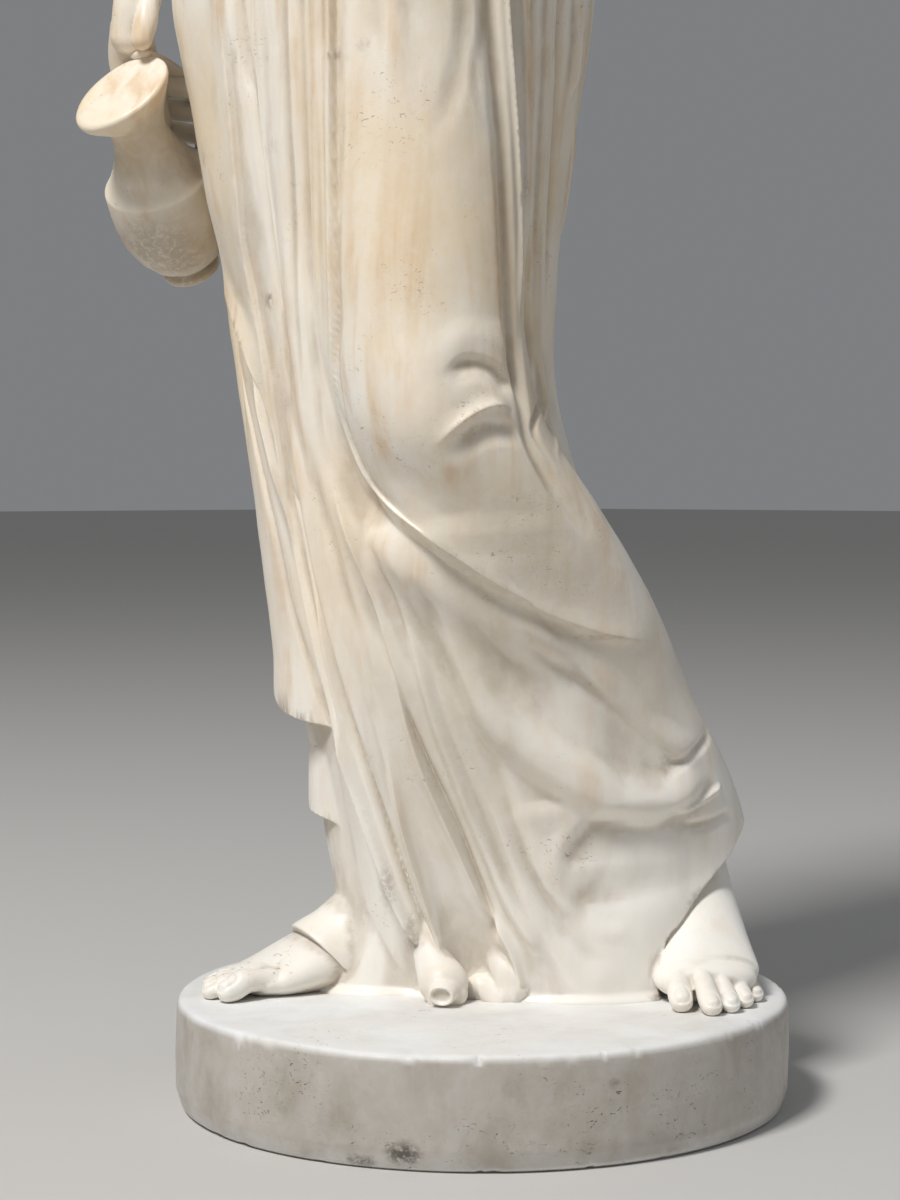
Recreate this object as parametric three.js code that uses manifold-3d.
// A draped marble figure with a jug, carved with its round plinth from one block.
// Millimetres, +Z up. The figure faces -Y, her left is +X, and the origin is the
// centre of the plinth's underside.

import * as THREE from 'three';
import { LoftGeometry } from 'three/addons/geometries/LoftGeometry.js';
import { mergeVertices } from 'three/addons/utils/BufferGeometryUtils.js';
import Module from 'manifold-3d';

const wasm = await Module();
wasm.setup();

// ---------------------------------------------------------------- driving sizes

const HEIGHT = 1200;              // underside of the plinth to the crown of the head
const PLINTH_RADIUS = 162.5;
const PLINTH_HEIGHT = 56;
const HEAD_HEIGHT = HEIGHT * 0.118;
const TRIANGLES = 9600;           // what the finished solid is brought down to
const PLINTH_TRIANGLES = 1100;    // the plinth's share of them

// The carving is laid out on one elevation, as a sculptor works from a drawing:
// it is seen from 45 degrees to her left, by an eye at this distance and height.
const EYE = { turn: Math.PI / 4, distance: 1368, height: 323 };

const DEG = Math.PI / 180;
const ROWS_STEP = 3.4;            // height of one row of the cloth's grid
const AROUND = 320;               // points in one row of it

// Elevation axes (across to the right, toward the eye) to figure x and y.
const seen = (across, toward) => [
  across * Math.cos(EYE.turn) + toward * Math.sin(EYE.turn),
  across * Math.sin(EYE.turn) - toward * Math.cos(EYE.turn),
];
const acrossOf = (x, y) => x * Math.cos(EYE.turn) + y * Math.sin(EYE.turn);
const towardOf = (x, y) => x * Math.sin(EYE.turn) - y * Math.cos(EYE.turn);

// ---------------------------------------------------------------- small tools

const clamp = (v, lo, hi) => Math.min(hi, Math.max(lo, v));
const smooth = (t) => { const c = clamp(t, 0, 1); return c * c * (3 - 2 * c); };
const bell = (t) => (Math.abs(t) >= 1 ? 0 : 0.5 + 0.5 * Math.cos(Math.PI * t));

// A smooth curve through rows [key, a, b, ...] with rising keys.
function track(rows) {
  const last = rows.length - 1;
  const slopes = rows.map((row, i) => {
    const lo = rows[Math.max(0, i - 1)];
    const hi = rows[Math.min(last, i + 1)];
    return row.map((v, k) => (hi[k] - lo[k]) / (hi[0] - lo[0]));
  });
  return (key) => {
    if (key <= rows[0][0]) return rows[0].slice(1);
    if (key >= rows[last][0]) return rows[last].slice(1);
    let i = 0;
    while (rows[i + 1][0] < key) i += 1;
    const span = rows[i + 1][0] - rows[i][0];
    const t = (key - rows[i][0]) / span;
    const a = (1 + 2 * t) * (1 - t) ** 2;
    const b = t * t * (3 - 2 * t);
    const c = t * (1 - t) ** 2 * span;
    const d = t * t * (t - 1) * span;
    return rows[i].slice(1).map((v, k) => (
      a * v + b * rows[i + 1][k + 1] + c * slopes[i][k + 1] + d * slopes[i + 1][k + 1]));
  };
}

// ---------------------------------------------------------------- the cloth's body

// The body under the cloth is a bundle of upright columns, each a row of circles
// [height, x, y, radius]. A column dwindles to nothing within this height past its
// ends, and `inView` columns give their centres in elevation axes.
const DWINDLE = 60;

function column(rows) {
  const curve = track(rows);
  const low = rows[0][0];
  const high = rows[rows.length - 1][0];
  return (z) => {
    const [x, y, r] = curve(z);
    return [x, y, r, smooth((z - low) / DWINDLE + 1) * smooth((high - z) / DWINDLE + 1)];
  };
}

const ball = (x, y, z0, r) => (z) => {
  const off = Math.min(1, Math.abs(z - z0) / r);
  return [x, y, r * Math.sqrt(1 - off * off), Math.sqrt(1 - off * off)];
};

const inView = (rows) => column(rows.map(([z, u, v, r]) => [z, ...seen(u, v), r]));

const AXIS = track([
  [40, -7, 52], [128, -7, 47], [209, -21, 21], [317, -38, -7], [425, -46, -20],
  [587, -52, -24], [640, -52, -24], [770, -45, -15], [881, -38, -12], [1010, -36, -8],
]);

const COLUMNS = [
  // pelvis, middle of the skirt, inside of the legs, up to the ribs and the neck
  column([[40, -7, 52, 60], [128, -7, 47, 58], [209, -21, 21, 60], [317, -38, -7, 60],
    [371, -44, -14, 60], [425, -46, -20, 70], [593, -52, -24, 86], [640, -52, -26, 86],
    [700, -50, -22, 76], [770, -45, -15, 52], [850, -40, -12, 52], [881, -38, -12, 56],
    [950, -37, -8, 50], [985, -36, -6, 38], [1010, -36, -6, 31]]),
  // left thigh and knee
  inView([[290, 5, 28, 30], [325, -12, 45, 42], [362, -24, 52, 48], [420, -30, 46, 51],
    [500, -33, 34, 56], [560, -33, 26, 62], [640, -28, 16, 74], [700, -30, 10, 60],
    [760, -35, 5, 30]]),
  // side fall of the skirt from the right hip
  inView([[200, -66, -30, 22], [300, -74, -30, 30], [371, -85, -30, 44],
    [425, -85, -31, 50], [479, -84, -36, 66], [533, -84, -40, 76], [587, -86, -44, 84],
    [640, -86, -46, 82], [700, -82, -42, 66], [770, -70, -30, 40]]),
  // the same fall further round, where the jug rests against it
  inView([[40, -30, -60, 30], [215, -60, -60, 36], [240, -80, -70, 34], [371, -92, -76, 44],
    [446, -96, -78, 50], [500, -96, -78, 56], [587, -100, -74, 56], [640, -96, -66, 56],
    [700, -85, -50, 50]]),
  // front fan of the skirt, down to the ground
  inView([[40, -20, -28, 46], [56, -20, -28, 46], [120, -26, -12, 44], [209, -38, 0, 44],
    [263, -48, 6, 42], [330, -60, 8, 38], [425, -66, 8, 38], [520, -64, -6, 34]]),
  // cloth hanging from the knee to the ground
  inView([[40, 38, -14, 46], [56, 38, -14, 45], [120, 26, -8, 46], [209, 8, 12, 42],
    [263, -6, 28, 40], [300, -16, 38, 38], [340, -20, 36, 26]]),
  // ankle and instep of the right foot under the cloth
  inView([[40, -58, -20, 38], [66, -57, -23, 36], [82, -53, -27, 34], [100, -48, -30, 29],
    [140, -54, -33, 30], [205, -60, -32, 30]]),
  // fall of the skirt behind the left leg
  inView([[40, 88, -66, 38], [56, 88, -66, 38], [155, 78, -54, 46], [209, 52, -45, 48],
    [263, 26, -35, 50], [317, 5, -25, 50], [371, -10, -22, 50], [425, -17, -20, 57],
    [479, -15, -20, 60], [587, -10, -20, 71], [640, -12, -20, 70], [700, -20, -18, 60],
    [770, -30, -14, 40]]),
  // back of the skirt
  inView([[40, 20, -80, 62], [120, 16, -78, 62], [240, 0, -66, 66], [425, -40, -52, 68],
    [587, -58, -52, 76], [640, -60, -50, 76], [700, -52, -40, 62], [770, -40, -25, 46]]),
  // ribs and shoulders, her right and her left
  column([[700, -82, -20, 44], [770, -74, -15, 43], [850, -74, -12, 48], [900, -76, -9, 50],
    [945, -86, -6, 43], [968, -92, -6, 32], [984, -84, -6, 22], [997, -60, -6, 14], [1006, -40, -6, 4]]),
  column([[700, -14, -20, 44], [770, -16, -15, 43], [850, -4, -12, 48], [900, -2, -9, 50],
    [950, 12, -6, 43], [974, 18, -6, 32], [990, 10, -6, 22], [1001, -14, -6, 14], [1008, -34, -6, 4]]),
  ball(-72, -50, 880, 33),
  ball(-5, -50, 882, 33),
];

// Hems are given as [angle from the eye's direction, height], in degrees, rising.
const HEM_EDGE = 5;
const LAYERS = [
  { // the short fall below the corner, at her right
    hem: track([[-180, 150], [-120, 158], [-90, 150], [-75, 145], [-60, 139], [-50, 139]]),
    columns: [inView([[80, -60, -32, 28], [130, -63, -32, 31], [190, -64, -32, 30], [240, -60, -32, 26]])],
    fillet: 5,
  },
  { // the hanging corner of the open side
    hem: track([[-180, 250], [-130, 236], [-110, 222], [-90, 213], [-80, 203], [-62, 194], [-50, 190]]),
    columns: [inView([[185, -77, -30, 35.5], [215, -77, -30, 36.5], [240, -77, -30, 37.5],
      [317, -82, -30, 42], [371, -84, -30, 44], [420, -80, -30, 40]])],
    fillet: 5,
  },
  { // cloth over the left shin and instep, down to the hem that crosses the foot
    hem: track([[-170, 30], [26, 30], [34, 60], [40, 82], [46, 92], [62, 112], [78, 132], [90, 140],
      [108, 128], [135, 60], [160, 30]]),
    columns: [
      inView([[80, 104, -30, 36], [128, 106, -34, 37], [155, 99, -28, 38], [209, 74, -8, 40],
        [263, 48, 12, 43], [317, 14, 32, 45], [360, -8, 38, 38], [400, -20, 36, 30]]),
      inView([[40, 66, -20, 50], [70, 72, -20, 50], [100, 78, -20, 48], [130, 84, -26, 44],
        [180, 76, -16, 38], [230, 52, -6, 26]]),
      inView([[130, 60, -12, 40], [160, 56, -6, 42], [209, 42, 4, 41], [263, 20, 20, 40],
        [300, 0, 34, 34]]),
    ],
    fillet: 30,
  },
];

// Distance from a point to a circle's far side along a direction. Past the tangent
// it keeps falling smoothly, so the blend of two columns has no corner.
function exitOf(px, py, dx, dy, [cx, cy, r, share]) {
  const mx = cx - px;
  const my = cy - py;
  const along = mx * dx + my * dy;
  const rest = r * r - (mx * mx + my * my - along * along);
  return share * (along + Math.sign(rest) * Math.sqrt(Math.abs(rest)));
}

// How wide the fillet between two columns is: tight on the hips, wide in the falling cloth.
const filletAt = (z) => 20 + 8 * smooth((400 - z) / 120);

// The larger of two values, with a fillet where they are nearly the same.
function softMax(a, b, fillet) {
  const near = Math.max(0, fillet - Math.abs(a - b));
  return Math.max(a, b) + near * near / (4 * fillet);
}

function bodyRadius(angle, z) {
  const [ax, ay] = AXIS(z);
  const dx = Math.sin(angle);
  const dy = -Math.cos(angle);
  const fromEye = ((angle / DEG - 45 + 540) % 360) - 180;
  const join = (start, columns, fillet) => columns.reduce(
    (r, column) => softMax(r, exitOf(ax, ay, dx, dy, column(z)), fillet), start);
  const core = join(0, COLUMNS, filletAt(z));
  return LAYERS.reduce((r, layer) => {
    const share = smooth((z - layer.hem(fromEye)[0]) / HEM_EDGE + 0.5);
    if (share === 0) return r;
    return r + (join(r, layer.columns, layer.fillet) - r) * share;
  }, core);
}

function bodyPoint(angle, z) {
  const [ax, ay] = AXIS(z);
  const r = bodyRadius(angle, z);
  return new THREE.Vector3(ax + r * Math.sin(angle), ay - r * Math.cos(angle), z);
}

// ---------------------------------------------------------------- folds

// Folds seen on the elevation: a path [[across, height], ...] from its upper end,
// how high it stands (or lies, if negative), its reach on the left or lower side and
// on the right or upper side, and how far it takes to rise and to die away.
const EDGE = 4.5;                  // reach of a fold's crisp side
const SEEN_FOLDS = [
  // side fall: smooth flap, its crisp edge, and the narrow ridge beside it
  { path: [[-141, 640], [-138, 584], [-129, 492], [-123, 441], [-112, 381], [-108, 354], [-100, 306]],
    height: 4.5, reach: [20, EDGE], crisp: true, fade: [20, 30] },
  { path: [[-151, 488], [-138, 440], [-125, 400], [-114, 371], [-108, 352]],
    height: 7, reach: [EDGE, 16], crisp: true, fade: [40, 12] },
  { path: [[-138, 640], [-132, 584], [-119, 504], [-108, 413], [-101, 361]],
    height: -3.2, reach: [7, 9], crisp: true, fade: [20, 40] },
  { path: [[-110, 640], [-108, 560], [-104, 470], [-97, 380], [-90, 320]], height: 2.5, reach: [12, 14], fade: [20, 60] },
  { path: [[-99, 640], [-97, 562], [-95, 504], [-92, 430]], height: -1.6, reach: [6, 6], crisp: true, fade: [20, 60] },
  // front panel's edge over the thigh, sweeping under the knee
  { path: [[-80, 640], [-80, 527], [-79, 426], [-75, 361], [-62, 333], [-46, 314], [-22, 297]],
    height: 5.5, reach: [26, EDGE], crisp: true, fade: [20, 40] },
  // soft lines on the thigh
  { path: [[-10, 640], [-13, 584], [-25, 500]], height: -1.4, reach: [9, 9], fade: [20, 40] },
  // narrow falls right of the thigh
  { path: [[4, 640], [7, 584], [14, 498], [18, 384], [20, 369]], height: -4.5, reach: [7, 6], crisp: true, fade: [20, 20] },
  { path: [[19, 640], [21, 584], [24, 480]], height: 2.5, reach: [6, 5], fade: [20, 40] },
  { path: [[33, 640], [31, 584], [27, 541], [22, 500]], height: -3.6, reach: [5, 5], crisp: true, fade: [20, 30] },
  { path: [[37, 640], [35, 584], [28, 470], [24, 369]], height: 4, reach: [5, 5], fade: [20, 40] },
  { path: [[42, 640], [41, 584], [34, 470], [28, 384]], height: -4, reach: [5, 5], crisp: true, fade: [20, 40] },
  { path: [[50, 600], [49, 551], [46, 520]], height: 3, reach: [6, 6], fade: [30, 30] },
  // creases at the bend of the knee
  { path: [[-13, 388], [-1, 391], [10, 385], [18, 377]], height: -4.5, reach: [9, 4], crisp: true, fade: [14, 6] },
  { path: [[-20, 351], [-1, 363], [14, 367]], height: 3.6, reach: [6, 6], fade: [12, 8] },
  { path: [[-12, 348], [4, 355], [22, 358]], height: -3.6, reach: [6, 3], crisp: true, fade: [10, 6] },
  // hanging corner: its thin seam line and the deep groove beside the rolled edge
  { path: [[-131, 413], [-123, 354], [-112, 305], [-102, 260], [-93, 231], [-80, 196], [-69, 168]],
    height: -3.4, reach: [EDGE, 5], crisp: true, fade: [20, 30] },
  { path: [[-128, 406], [-119, 381], [-109, 342], [-100, 309], [-88, 253], [-78, 211], [-64, 166], [-45, 110], [-28, 72], [-24, 56]],
    height: 9, reach: [13, EDGE], crisp: true, fade: [40, 0] },
  { path: [[-118, 381], [-108, 342], [-99, 309], [-87, 253], [-77, 211], [-63, 166], [-44, 110], [-27, 72]],
    height: -3, reach: [EDGE, 6], crisp: true, fade: [30, 10] },
  // front fan
  { path: [[-82, 211], [-74, 186], [-64, 156], [-58, 129], [-40, 95]], height: 3, reach: [5, 6], fade: [30, 30] },
  { path: [[-104, 370], [-93, 313], [-82, 256], [-70, 205]], height: 3.4, reach: [7, 7], fade: [40, 50] },
  { path: [[-83, 337], [-64, 279], [-50, 235], [-28, 164], [-3, 109], [16, 78], [22, 60]], height: 5, reach: [10, 8], fade: [50, 0] },
  { path: [[-52, 193], [-37, 130], [-22, 72], [-18, 56]], height: 6, reach: [9, 9], fade: [60, 0] },
  { path: [[-36, 193], [-19, 156], [-3, 118], [10, 80]], height: -5, reach: [8, 5], crisp: true, fade: [50, 10] },
  { path: [[-28, 193], [-9, 146], [14, 103], [33, 72]], height: 3, reach: [5, 7], fade: [40, 14] },
  // slings from the knee to the left foot
  { path: [[-73, 337], [-47, 285], [-12, 229], [14, 192], [54, 163], [86, 152], [107, 156], [124, 172]],
    height: 7.5, reach: [12, 12], fade: [40, 16] },
  { path: [[-36, 301], [-13, 288], [28, 261], [74, 245], [104, 236]], height: 7, reach: [9, 16], fade: [30, 24] },
  { path: [[-59, 327], [-22, 295], [14, 271], [60, 251]], height: -7, reach: [20, 6], fade: [30, 60] },
  { path: [[-1, 268], [28, 246], [74, 215], [108, 181], [122, 170]], height: 4.5, reach: [9, 12], fade: [30, 16] },
  // rim of the cloth over the ankle, and the small crease beside it
  { path: [[49, 118], [53, 134], [64, 142], [81, 146], [114, 146]], height: -5, reach: [10, 4], crisp: true, fade: [16, 20] },
  { path: [[22, 150], [36, 152], [52, 150]], height: 3, reach: [6, 5], fade: [14, 12] },
  { path: [[26, 84], [45, 70], [64, 60]], height: 2.5, reach: [5, 5], fade: [16, 10] },
  // cloth over the right instep
  { path: [[-72, 120], [-62, 100], [-52, 80], [-44, 62]], height: 2.5, reach: [6, 6], fade: [14, 14] },
];

const AVERAGE_RADIUS = 85;        // for comparing turn and height on the cloth

// A point of the elevation dropped on the body under the cloth: [angle, height].
function drop(across, height) {
  let angle = EYE.turn;
  let z = height;
  let toward = 30;
  for (let pass = 0; pass < 8; pass += 1) {
    const scale = 1 - toward / EYE.distance;
    z = EYE.height + (height - EYE.height) * scale;
    const wanted = across * scale;
    let lo = -55 * DEG;
    let hi = 145 * DEG;
    for (let step = 0; step < 22; step += 1) {
      angle = (lo + hi) / 2;
      const p = bodyPoint(angle, z);
      if (acrossOf(p.x, p.y) < wanted) lo = angle; else hi = angle;
    }
    const p = bodyPoint(angle, z);
    toward = towardOf(p.x, p.y);
  }
  return [angle, z];
}

const STEPS_IN_FOLD = 36;

// A fold ready to lay on the cloth: its points in space with their turn and height.
function layOut(fold) {
  const turns = fold.path.map(([a, b]) => (fold.round ? [a * DEG, b] : drop(a, b)));
  const curve = new THREE.CatmullRomCurve3(
    turns.map(([angle, z]) => new THREE.Vector3(angle * AVERAGE_RADIUS, z, 0)), false, 'centripetal');
  const points = curve.getSpacedPoints(STEPS_IN_FOLD);
  const places = points.map((p) => bodyPoint(p.x / AVERAGE_RADIUS, p.y));
  const lengths = [0];
  for (let i = 1; i < places.length; i += 1) lengths.push(lengths[i - 1] + places[i].distanceTo(places[i - 1]));
  const box = new THREE.Box3().setFromPoints(places).expandByScalar(Math.max(...fold.reach));
  return { ...fold, points, places, lengths, box };
}

function fadeAt(fold, s, total) {
  const [start, end] = fold.fade;
  const rise = start > 0 ? smooth(s / start) : 1;
  const fall = end > 0 ? smooth((total - s) / end) : 1;
  return rise * fall;
}

// Height of one fold at a point of the body, given with its turn and height.
function foldAt(fold, place, angle, z) {
  if (!fold.box.containsPoint(place)) return 0;
  let best = Infinity;
  let found = 0;
  let share = 0;
  const step = new THREE.Vector3();
  const gap = new THREE.Vector3();
  for (let i = 0; i < fold.places.length - 1; i += 1) {
    step.subVectors(fold.places[i + 1], fold.places[i]);
    gap.subVectors(place, fold.places[i]);
    const t = clamp(gap.dot(step) / step.lengthSq(), 0, 1);
    const d = gap.addScaledVector(step, -t).lengthSq();
    if (d < best) { best = d; found = i; share = t; }
  }
  const total = fold.lengths[fold.lengths.length - 1];
  const s = fold.lengths[found] + share * (fold.lengths[found + 1] - fold.lengths[found]);
  const tx = fold.points[found + 1].x - fold.points[found].x;
  const tz = fold.points[found + 1].y - fold.points[found].y;
  const ox = angle * AVERAGE_RADIUS - fold.points[found].x;
  const oz = z - fold.points[found].y;
  const side = tx * oz - tz * ox > 0 ? 1 : 0;
  const t = Math.sqrt(best) / fold.reach[side];
  if (t >= 1) return 0;
  return fold.height * (fold.crisp ? (1 - t) ** 2 * (1 + 0.6 * t) : bell(t)) * fadeAt(fold, s, total);
}

// ---------------------------------------------------------------- the cloth

const BOTTOM = 44;
const TOP = 1010;
const BELT = 800;
const OVERFOLD_HEM = 642;

// The sides that face away from the eye are plainer: long falls, worked out by a loop.
const BACK_FALLS = Array.from({ length: 11 }, (_, k) => {
  const start = 146 + 16 * k + 4 * Math.sin(2.3 * k);
  const end = 140 + 16.5 * k + 7 * Math.sin(1.7 * k + 1);
  return {
    round: true,
    path: [[start, 650], [start + 2, 520], [(start + end) / 2, 300], [end, 56]],
    height: -6 - 1.5 * Math.sin(1.9 * k),
    reach: [11, 14],
    crisp: true,
    fade: [10, 0],
  };
});

// Narrow pleats of uneven width all round, sharp in the valleys.
function pleats(angle, count, z) {
  const turn = angle + 0.13 * Math.sin(3 * angle + 1) + 0.07 * Math.sin(7 * angle + z / 60);
  const deep = 0.8 + 0.35 * Math.sin(5 * angle + 2) * Math.sin(2 * angle);
  return deep * (Math.abs(Math.sin(count * turn / 2)) ** 0.7 - 0.6);
}

// The overfold of the gown above the skirt, its belt, and the neckline.
function gown(angle, z) {
  const front = (((angle / DEG + 540) % 360) - 180);
  const hem = OVERFOLD_HEM + 6 * Math.sin(5 * angle + 0.6) + 4 * Math.sin(11 * angle);
  const neckline = 925 + 52 * Math.min(1, Math.abs(front / 62) ** 1.3);
  const below = smooth((z - hem) / 4) * smooth((BELT + 4 - z) / 30);
  const above = smooth((z - BELT + 4) / 24) * smooth((neckline - z) / 3);
  const blouse = 6 * bell((z - BELT - 20) / 26);
  const groove = -5 * bell((z - BELT) / 12);
  const cord = 4.5 * bell((z - BELT) / 5);
  const fall = below * (7 + 3.8 * pleats(angle, 26, z));
  const bodice = above * (3 + 2.2 * pleats(angle, 30, z) * smooth((960 - z) / 60));
  return fall + bodice + blouse + groove + cord;
}

function cloth() {
  const rows = Math.round((TOP - BOTTOM) / ROWS_STEP);
  const folds = [...SEEN_FOLDS, ...BACK_FALLS].map(layOut);
  const angleOf = (j) => 2 * Math.PI * j / AROUND - 55 * DEG;
  const zOf = (i) => BOTTOM + (TOP - BOTTOM) * i / rows;
  const body = [];
  for (let i = 0; i <= rows; i += 1) {
    body.push([]);
    for (let j = 0; j < AROUND; j += 1) body[i].push(bodyPoint(angleOf(j), zOf(i)));
  }
  const upward = new THREE.Vector3();
  const aside = new THREE.Vector3();
  const sections = body.map((ring, i) => ring.map((place, j) => {
    upward.subVectors(body[Math.min(rows, i + 1)][j], body[Math.max(0, i - 1)][j]);
    aside.subVectors(ring[(j + 1) % AROUND], ring[(j + AROUND - 1) % AROUND]);
    const normal = new THREE.Vector3().crossVectors(aside, upward).normalize();
    const angle = angleOf(j);
    const z = zOf(i);
    const raised = folds.reduce((sum, fold) => sum + foldAt(fold, place, angle, z), gown(angle, z));
    return place.clone().addScaledVector(normal, raised);
  }));
  return new LoftGeometry(sections, { closed: true, capStart: true, capEnd: true });
}

// ---------------------------------------------------------------- limbs

const DOME_RINGS = [0.97, 0.8, 0.5, 0.15];   // sines of the rings that close an end

// A rounded limb through stations [x, y, z, half width, half thickness]. Its width lies
// along `across`, and each end is closed by a dome, or cut flat at the far end if blunt.
function limb(stations, across = [1, 0, 0], sides = 14, steps = 4, blunt = false) {
  const shape = track(stations.map((row, i) => [i, ...row]));
  const count = (stations.length - 1) * steps;
  const at = (i) => shape(i / steps);
  const place = (row) => new THREE.Vector3(row[0], row[1], row[2]);
  const side = new THREE.Vector3(...across);
  const ring = (i, shrink, push) => {
    const row = at(i);
    const ahead = place(at(Math.min(count, i + 0.5))).sub(place(at(Math.max(0, i - 0.5)))).normalize();
    const u = side.clone().addScaledVector(ahead, -side.dot(ahead)).normalize();
    const v = new THREE.Vector3().crossVectors(ahead, u);
    const half = Math.min(row[3], row[4] ?? row[3]);
    const centre = place(row).addScaledVector(ahead, push * half);
    return Array.from({ length: sides }, (_, k) => {
      const a = 2 * Math.PI * k / sides;
      return centre.clone()
        .addScaledVector(u, row[3] * shrink * Math.cos(a))
        .addScaledVector(v, (row[4] ?? row[3]) * shrink * Math.sin(a));
    });
  };
  const dome = (i, sign) => DOME_RINGS.map((r) => ring(i, r, sign * Math.sqrt(1 - r * r)));
  const sections = [...dome(0, -1).reverse()];
  for (let i = 0; i <= count; i += 1) sections.push(ring(i, 1, 0));
  if (!blunt) sections.push(...dome(count, 1));
  return new LoftGeometry(sections, { closed: true, capStart: true, capEnd: true });
}

// Toe: from its root, over the joint, to a tip that rests on the ground.
function toe([rx, ry, rz], [tx, ty], radius, across) {
  const ground = PLINTH_HEIGHT - 1;
  const at = (t, z, r) => [rx + (tx - rx) * t, ry + (ty - ry) * t, z, r, r * 0.92];
  return limb([
    at(0, rz, radius * 1.05), at(0.4, rz * 0.6 + (ground + radius * 1.4) * 0.4, radius * 0.95),
    at(0.72, ground + radius * 1.25, radius * 0.98), at(0.9, ground + radius * 0.95, radius * 0.9),
  ], across, 12, 3);
}

function rightFoot() {
  const top = PLINTH_HEIGHT;
  const across = [0.98, -0.2, 0];
  return [
    limb([[-44, 34, top + 16, 19, 22], [-52, 0, top + 28, 23, 31], [-67, -40, top + 15, 26, 27],
      [-76, -74, top + 8, 29, 18], [-81, -98, top + 4, 28, 11]], across, 20),
    // the cloth that lies over it, down to its hem
    limb([[-46, 10, top + 40, 30, 36], [-58, -14, top + 24, 33, 33], [-66, -36, top + 15, 31, 30],
      [-69, -47, top + 13, 30.5, 27.5], [-69.5, -48.5, top + 12, 27, 24]], across, 24, 4, true),
    limb([[-36, 2, 140, 24, 24], [-42, 2, 110, 23, 24], [-50, 4, 84, 21, 25]], across, 16),
    toe([-60, -92, top + 11], [-66, -129], 9.5, across),
    toe([-75, -94, top + 10], [-84, -128], 7, across),
    toe([-86, -92, top + 9], [-96, -121], 6.5, across),
    toe([-95, -88, top + 8], [-105, -112], 6.2, across),
    toe([-102, -80, top + 7], [-112, -100], 6, across),
  ];
}

function leftFoot() {
  const top = PLINTH_HEIGHT;
  const across = [0.64, 0.77, 0];
  return [
    limb([[56, 112, 170, 21, 21], [62, 112, 138, 19, 20], [76, 98, 112, 20, 20],
      [92, 82, 90, 24, 17], [105, 68, 76, 27, 12]], across, 20),
    toe([91, 48, top + 14], [117, 26], 8.2, across),
    toe([103, 55, top + 15], [135, 31], 7, across),
    toe([109, 66, top + 14], [137, 44], 6.6, across),
    toe([110, 78, top + 13], [133, 62], 6.4, across),
    toe([104, 92, top + 11], [120, 84], 6.2, across),
  ];
}

// ---------------------------------------------------------------- jug

const JUG = {
  foot: new THREE.Vector3(...seen(-166, -115), 446),
  axis: new THREE.Vector3(...seen(-0.225, 0.655), 0.72).normalize(),
  neck: 107,
  length: 139,
};

function jug() {
  const outline = [
    [0, 0], [16, 0], [17, 2], [16, 4.5], [12.5, 6], [13, 8], [18, 14], [24, 24], [28.5, 38], [30.5, 54],
    [31, 70], [31, 80], [30.2, 82.5], [28, 84.5], [22.5, 89], [17.5, 96], [14.5, 104], [13.8, 110], [14.8, 118],
    [18, 127], [21.5, 134], [22.3, 137], [21, 139], [17, 137.5], [8, 136], [0, 135.5],
  ].map(([r, z]) => new THREE.Vector2(r, z));
  const geometry = new THREE.LatheGeometry(outline, 40);
  geometry.rotateX(Math.PI / 2);
  // the mouth is drawn out into a spout
  const spout = new THREE.Vector3(0.6, -0.8, 0);
  const p = geometry.attributes.position;
  const v = new THREE.Vector3();
  for (let i = 0; i < p.count; i += 1) {
    v.fromBufferAttribute(p, i);
    const lip = smooth((v.z - 118) / 19);
    const along = v.x * spout.x + v.y * spout.y;
    v.addScaledVector(spout, lip * along * (along > 0 ? 0.35 : 0.1));
    v.z += lip * 0.2 * along;
    p.setXYZ(i, v.x, v.y, v.z);
  }
  const turn = new THREE.Quaternion().setFromUnitVectors(new THREE.Vector3(0, 0, 1), JUG.axis);
  geometry.applyQuaternion(turn);
  geometry.translate(JUG.foot.x, JUG.foot.y, JUG.foot.z);
  return geometry;
}

// ---------------------------------------------------------------- arms

const viewPoint = (across, toward, z) => [...seen(across, toward), z];

function rightArm() {
  const wrist = viewPoint(-195, -48, 570);
  const across = [0.7, 0.7, 0];
  return [
    limb([[-118, -12, 962, 30, 30], [-142, -14, 955, 34, 34], [-150, -22, 915, 31, 33],
      [-157, -36, 850, 27, 30], [-162, -46, 790, 22, 24], [-164, -54, 755, 22, 23],
      [-166, -70, 700, 23, 22], [-169, -88, 640, 18, 17], [...viewPoint(-189, -45, 597), 13.5, 12.5],
      [...wrist, 11.5, 10]], across, 18),
    // palm, thumb on the lip, fingers round the neck
    limb([[...viewPoint(-195, -50, 572), 11, 9], [...viewPoint(-194, -58, 556), 14, 9],
      [...viewPoint(-188, -62, 540), 13, 9]], across, 14),
    limb([[...viewPoint(-192, -40, 580), 7, 7], [...viewPoint(-188, -34, 570), 7.5, 7],
      [...viewPoint(-187, -30, 560), 6.5, 5.5]], across, 12),
    ...[0, 1, 2].map((k) => limb([[...viewPoint(-190 + k, -66, 550 - 10 * k), 6, 6],
      [...viewPoint(-180, -70, 547 - 10 * k), 6, 6], [...viewPoint(-170, -62, 545 - 10 * k), 5.8, 5.8],
      [...viewPoint(-166, -52, 545 - 10 * k), 5.4, 5.4]], [0, 0, 1], 10)),
    // handle
    limb([[...viewPoint(-190, -34, 556), 5, 3.5], [...viewPoint(-172, -56, 556), 5, 3.5],
      [...viewPoint(-160, -74, 540), 5, 3.5], [...viewPoint(-158, -80, 515), 5, 3.5],
      [...viewPoint(-166, -80, 492), 5, 3.5]], [0, 0, 1], 10),
  ];
}

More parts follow.
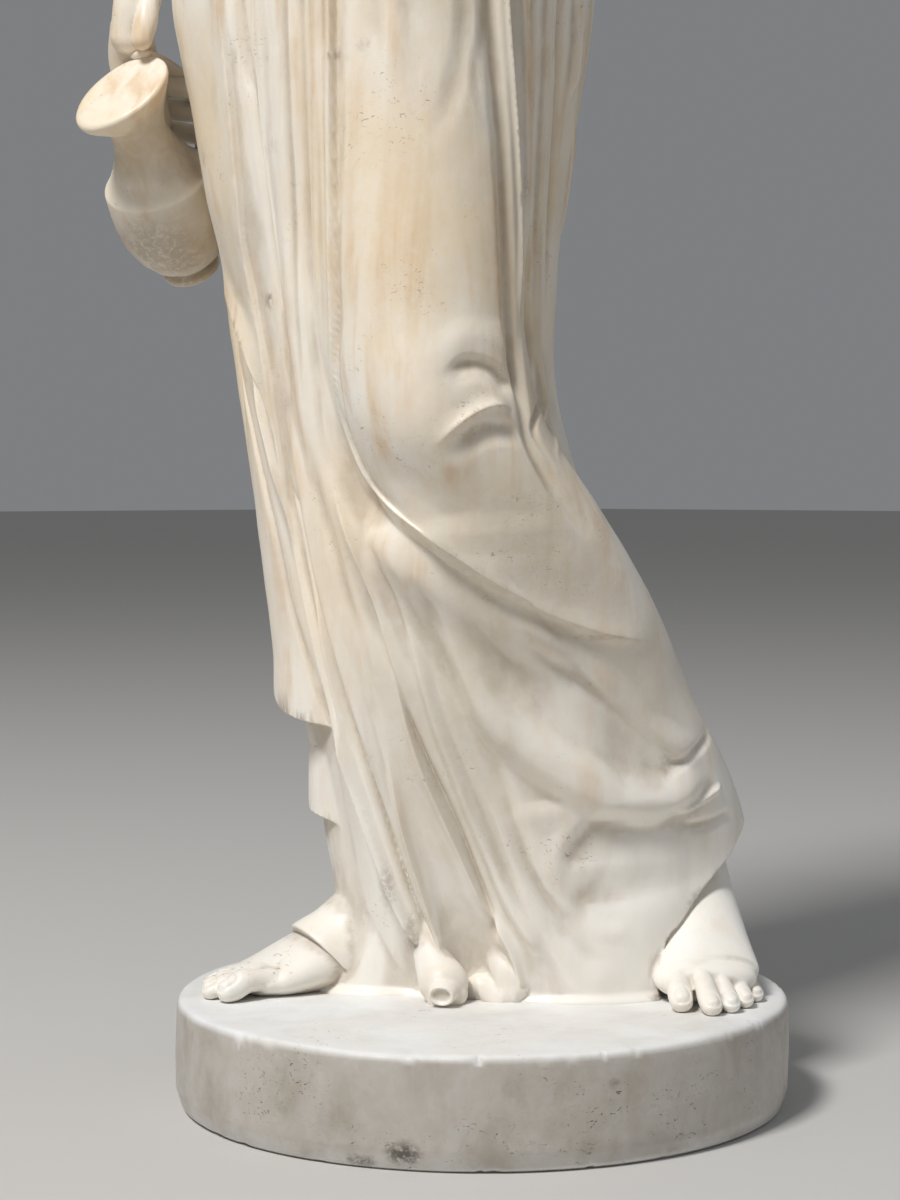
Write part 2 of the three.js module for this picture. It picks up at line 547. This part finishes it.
function leftArm() {
  const across = [0.9, 0.3, 0.3];
  return [
    limb([[44, -10, 968, 30, 30], [68, -11, 962, 33, 33], [80, -8, 920, 31, 32], [90, -2, 860, 28, 29],
      [98, 4, 800, 24, 26], [100, 0, 768, 22, 24]], [1, 0, 0], 18),
    limb([[100, 2, 772, 22, 22], [88, -26, 792, 23, 22], [66, -58, 828, 19, 18], [46, -80, 862, 14, 12],
      [38, -87, 876, 13, 10]], across, 18),
    // hand laid on the breast, holding a gathered fold
    limb([[38, -87, 876, 12, 10], [22, -92, 892, 18, 9], [4, -90, 908, 19, 9]], [0.6, 0.1, 0.8], 14),
    ...[0, 1, 2, 3].map((k) => limb([[6 + 5 * k, -90, 919 - 11 * k, 6, 6], [-12 + 5 * k, -92, 922 - 10 * k, 5.6, 5.6],
      [-25 + 5 * k, -86, 917 - 9 * k, 5, 5], [-29 + 5 * k, -78, 912 - 9 * k, 4.6, 4.6]], [0, 0, 1], 10)),
    limb([[26, -95, 900, 6.5, 6.5], [16, -98, 918, 6.5, 6], [8, -94, 932, 5.5, 5]], [0.7, 0, 0.7], 10),
  ];
}

// ---------------------------------------------------------------- head

// The head is turned round its own axis: half width, depth to the front, depth to the
// back, from the chin (-1) through the eyes (0) to the crown (1) of half its height.
const HEAD_HALF = HEAD_HEIGHT / 2;
const SKULL = track([
  [-1, 12, 46, 12], [-0.94, 21, 54, 14], [-0.84, 29, 56, 18], [-0.6, 38, 54, 30], [-0.35, 44, 54, 44],
  [0, 48, 54, 58], [0.35, 50, 57, 62], [0.62, 46, 51, 58], [0.84, 34, 36, 44], [0.96, 18, 18, 24],
  [1, 6, 6, 8],
]);

// Features as soft bumps: [across mm, height mm, half width, half height, rise]
const FEATURES = [
  [0, 3, 6, 10, 3], [0, -8, 6.5, 11, 5], [0, -17, 8, 9, 7.5], [0, -23, 8.5, 5.5, 6],   // nose
  [7, -25, 5, 4.5, 3.2], [-7, -25, 5, 4.5, 3.2],                                        // nostrils
  [17, 0, 13, 8.5, -6], [-17, 0, 13, 8.5, -6],                                          // sockets
  [17.5, -0.5, 9.5, 5, 5], [-17.5, -0.5, 9.5, 5, 5],                                    // eyes
  [17, 9, 17, 4.5, 2], [-17, 9, 17, 4.5, 2],                                            // brows
  [0, -36.5, 13, 3.2, 2.6], [0, -40, 15, 1.8, -1.8], [0, -43.5, 11, 3.4, 3.2],          // lips
  [0, -50, 14, 4, -2.2], [0, -60, 13, 9, 3.2],                                          // chin
  [27, -18, 15, 13, 2], [-27, -18, 15, 13, 2],                                          // cheeks
];

function headRadius(angle, h) {
  const [half, front, back] = SKULL(h / HEAD_HALF);
  const depth = Math.cos(angle) > 0 ? front : back;
  const r = 1 / Math.hypot(Math.sin(angle) / half, Math.cos(angle) / depth);
  const across = r * Math.sin(angle);
  let rise = 0;
  if (Math.cos(angle) > 0) {
    for (const [u, v, w, t, height] of FEATURES) {
      rise += height * bell(Math.hypot((across - u) / w, (h - v) / t) / 1.6);
    }
  }
  // hair: fuller than the skull behind a hairline that rises over the brow
  const turn = Math.abs(((angle / DEG + 540) % 360) - 180);
  const hairline = 50 - 34 * smooth((turn - 12) / 45);
  const hair = turn > 68 ? smooth((turn - 68) / 10) * smooth((h + 34 + 0.1 * turn) / 10) : 0;
  const cover = Math.max(hair, smooth((h - hairline) / 5));
  const wave = Math.sin((h * 0.55 + turn * 0.32 + 2.2 * Math.sin(turn / 9)) * 0.62);
  return r + rise * (1 - cover) + cover * (7 + 2 * wave);
}

function head() {
  const rows = 60;
  const around = 96;
  const sections = [];
  for (let i = 0; i <= rows; i += 1) {
    const h = HEAD_HALF * Math.sin((i / rows - 0.5) * Math.PI) * 0.999;
    sections.push(Array.from({ length: around }, (_, j) => {
      const angle = 2 * Math.PI * j / around;
      const r = headRadius(angle, h);
      return new THREE.Vector3(r * Math.sin(angle), -r * Math.cos(angle), h);
    }));
  }
  const skull = new LoftGeometry(sections, { closed: true, capStart: true, capEnd: true });
  const bun = limb([[0, 56, -4, 20, 18], [0, 70, -6, 22, 20], [0, 80, -7, 16, 15]], [1, 0, 0], 16, 3);
  const pose = new THREE.Matrix4().makeTranslation(-40, -24, HEIGHT - HEAD_HALF - 7)
    .multiply(new THREE.Matrix4().makeRotationZ(-22 * DEG))
    .multiply(new THREE.Matrix4().makeRotationX(12 * DEG));
  [skull, bun].forEach((piece) => piece.applyMatrix4(pose));
  const neck = limb([[-36, -2, 975, 56, 36], [-36, -4, 998, 46, 35], [-37, -7, 1018, 36, 34],
    [-39, -9, 1042, 32, 33], [-41, -8, 1085, 31, 33]], [1, 0, 0], 24);
  return [skull, bun, neck];
}

// ---------------------------------------------------------------- plinth

function plinth() {
  const profile = [
    [0, 0], [PLINTH_RADIUS - 6, 0], [PLINTH_RADIUS - 3, 2], [PLINTH_RADIUS - 0.5, 10],
    [PLINTH_RADIUS, 28], [PLINTH_RADIUS - 0.5, 46], [PLINTH_RADIUS - 2.5, 53.5],
    [PLINTH_RADIUS - 6, PLINTH_HEIGHT], [0, PLINTH_HEIGHT],
  ].map(([r, z]) => new THREE.Vector2(r, z));
  const geometry = new THREE.LatheGeometry(profile, 72);
  geometry.rotateX(Math.PI / 2);
  return geometry;
}

// ---------------------------------------------------------------- solids

function solidOf(geometry) {
  const bare = new THREE.BufferGeometry();
  bare.setAttribute('position', geometry.attributes.position);
  bare.setIndex(geometry.index);
  const merged = mergeVertices(bare, 1e-4);
  return new wasm.Manifold(new wasm.Mesh({
    numProp: 3,
    vertProperties: new Float32Array(merged.attributes.position.array),
    triVerts: new Uint32Array(merged.index.array),
  }));
}

function geometryOf(solid) {
  const mesh = solid.getMesh();
  const geometry = new THREE.BufferGeometry();
  geometry.setAttribute('position', new THREE.BufferAttribute(new Float32Array(mesh.vertProperties), 3));
  geometry.setIndex(Array.from(mesh.triVerts));
  geometry.computeVertexNormals();
  return geometry;
}

// ---------------------------------------------------------------- fewer triangles

// Edges are drawn together one by one, cheapest first, until the wanted number of
// triangles is left. The cost is the squared distance to the planes that met there.
class Queue {
  constructor() { this.items = []; }

  push(item) {
    const { items } = this;
    let i = items.push(item) - 1;
    while (i > 0) {
      const up = (i - 1) >> 1;
      if (items[up].cost <= item.cost) break;
      items[i] = items[up];
      i = up;
    }
    items[i] = item;
  }

  pop() {
    const { items } = this;
    const first = items[0];
    const item = items.pop();
    const { length } = items;
    if (length === 0) return first;
    let i = 0;
    for (;;) {
      let down = 2 * i + 1;
      if (down >= length) break;
      if (down + 1 < length && items[down + 1].cost < items[down].cost) down += 1;
      if (items[down].cost >= item.cost) break;
      items[i] = items[down];
      i = down;
    }
    items[i] = item;
    return first;
  }
}

const cross = (a, b, c) => {
  const [ux, uy, uz] = [b[0] - a[0], b[1] - a[1], b[2] - a[2]];
  const [vx, vy, vz] = [c[0] - a[0], c[1] - a[1], c[2] - a[2]];
  return [uy * vz - uz * vy, uz * vx - ux * vz, ux * vy - uy * vx];
};

// Value of the quadric q = [xx, xy, xz, xw, yy, yz, yw, zz, zw, ww] at a point.
const quadricAt = (q, [x, y, z]) => (
  q[0] * x * x + 2 * q[1] * x * y + 2 * q[2] * x * z + 2 * q[3] * x
  + q[4] * y * y + 2 * q[5] * y * z + 2 * q[6] * y + q[7] * z * z + 2 * q[8] * z + q[9]);

// The point where a quadric is least, or null where it has no clear one.
function lowestOf(q) {
  const [a, b, c, d, e, f, g, h, i] = q;
  const det = a * (e * h - f * f) - b * (b * h - f * c) + c * (b * f - e * c);
  if (Math.abs(det) < 1e-6 * (a + e + h) ** 3) return null;
  return [
    -(d * (e * h - f * f) - b * (g * h - f * i) + c * (g * f - e * i)) / det,
    -(a * (g * h - i * f) - d * (b * h - f * c) + c * (b * i - g * c)) / det,
    -(a * (e * i - f * g) - b * (b * i - g * c) + d * (b * f - e * c)) / det,
  ];
}

function simplify(geometry, wanted, finenessAt) {
  const flat = geometry.attributes.position.array;
  const points = Array.from({ length: flat.length / 3 }, (_, i) => Array.from(flat.slice(3 * i, 3 * i + 3)));
  const faces = Array.from({ length: geometry.index.count / 3 },
    (_, i) => Array.from(geometry.index.array.slice(3 * i, 3 * i + 3)));
  const facesOf = points.map(() => new Set());
  const quadrics = points.map(() => new Float64Array(10));
  const stamps = new Int32Array(points.length);
  const alive = points.map(() => true);
  faces.forEach((face, f) => {
    const n = cross(...face.map((v) => points[v]));
    const size = Math.hypot(...n);
    face.forEach((v) => facesOf[v].add(f));
    if (size === 0) return;
    const [x, y, z] = n.map((c) => c / size);
    const w = -(x * points[face[0]][0] + y * points[face[0]][1] + z * points[face[0]][2]);
    const terms = [x * x, x * y, x * z, x * w, y * y, y * z, y * w, z * z, z * w, w * w];
    face.forEach((v) => terms.forEach((term, k) => { quadrics[v][k] += term * size; }));
  });
  points.forEach((p, v) => {
    const fineness = finenessAt(p);
    quadrics[v].forEach((_, k) => { quadrics[v][k] *= fineness; });
  });

  const neighbours = (v) => {
    const found = new Set();
    facesOf[v].forEach((f) => faces[f].forEach((u) => { if (u !== v) found.add(u); }));
    return found;
  };
  const queue = new Queue();
  const offer = (a, b) => {
    const q = quadrics[a].map((value, k) => value + quadrics[b][k]);
    const middle = points[a].map((value, k) => (value + points[b][k]) / 2);
    const length = Math.hypot(...points[a].map((value, k) => value - points[b][k]));
    const best = lowestOf(q);
    const near = best && Math.hypot(...best.map((value, k) => value - middle[k])) < length;
    const target = near ? best : middle;
    const cost = quadricAt(q, target) + 1e-4 * length * length;
    queue.push({ cost, a, b, target, stamp: stamps[a] + stamps[b] });
  };
  points.forEach((_, a) => neighbours(a).forEach((b) => { if (a < b) offer(a, b); }));

  // A move must not turn a triangle over or squeeze it to a sliver.
  const keepsFaces = (v, other, target) => [...facesOf[v]].every((f) => {
    if (faces[f].includes(other)) return true;
    const before = cross(...faces[f].map((u) => points[u]));
    const after = cross(...faces[f].map((u) => (u === v ? target : points[u])));
    const dot = before[0] * after[0] + before[1] * after[1] + before[2] * after[2];
    const size = Math.hypot(...after);
    const corners = faces[f].map((u) => (u === v ? target : points[u]));
    const longest = Math.max(...[0, 1, 2].map((k) => Math.hypot(
      ...corners[k].map((c, m) => c - corners[(k + 1) % 3][m]))));
    return dot > 0.2 * Math.hypot(...before) * size && size > 0.03 * longest * longest;
  });

  let count = faces.length;
  while (count > wanted && queue.items.length > 0) {
    const { a, b, target, stamp } = queue.pop();
    if (!alive[a] || !alive[b] || stamp !== stamps[a] + stamps[b]) continue;
    const around = neighbours(b);
    const shared = [...neighbours(a)].filter((v) => around.has(v));
    if (shared.length !== 2 || !keepsFaces(a, b, target) || !keepsFaces(b, a, target)) continue;
    points[a] = target;
    quadrics[a] = quadrics[a].map((value, k) => value + quadrics[b][k]);
    alive[b] = false;
    facesOf[b].forEach((f) => {
      if (faces[f].includes(a)) {
        faces[f].forEach((v) => facesOf[v].delete(f));
        faces[f] = null;
        count -= 1;
      } else {
        faces[f] = faces[f].map((v) => (v === b ? a : v));
        facesOf[a].add(f);
      }
    });
    stamps[a] += 1;
    neighbours(a).forEach((v) => offer(a, v));
  }

  const left = faces.filter((face) => face !== null);
  const rank = new Map();
  left.flat().forEach((v) => { if (!rank.has(v)) rank.set(v, rank.size); });
  const result = new THREE.BufferGeometry();
  const kept = [...rank.keys()].flatMap((v) => points[v]);
  result.setAttribute('position', new THREE.BufferAttribute(new Float32Array(kept), 3));
  result.setIndex(left.flat().map((v) => rank.get(v)));
  return result;
}

// ---------------------------------------------------------------- the whole carving

const carving = [cloth(), ...rightFoot(), ...leftFoot(), ...rightArm(), ...leftArm(), jug(), ...head()];
const figure = carving.map(solidOf).reduce((a, b) => a.add(b));
// The face, hands, feet and jug keep smaller triangles than the cloth.
const fineness = ([x, y, z]) => (z > 1030 || z < 110 || Math.hypot(x + 180, y + 80) < 70 ? 3 : 1);
const carved = simplify(geometryOf(figure), TRIANGLES - PLINTH_TRIANGLES, fineness);
const statue = solidOf(carved).add(solidOf(plinth()));

const marble = new THREE.MeshStandardMaterial({ color: 0xd9cfbd, roughness: 0.55, metalness: 0 });
const mesh = new THREE.Mesh(geometryOf(statue), marble);
mesh.name = 'statue';
const part = new THREE.Group();
part.add(mesh);

export default part;
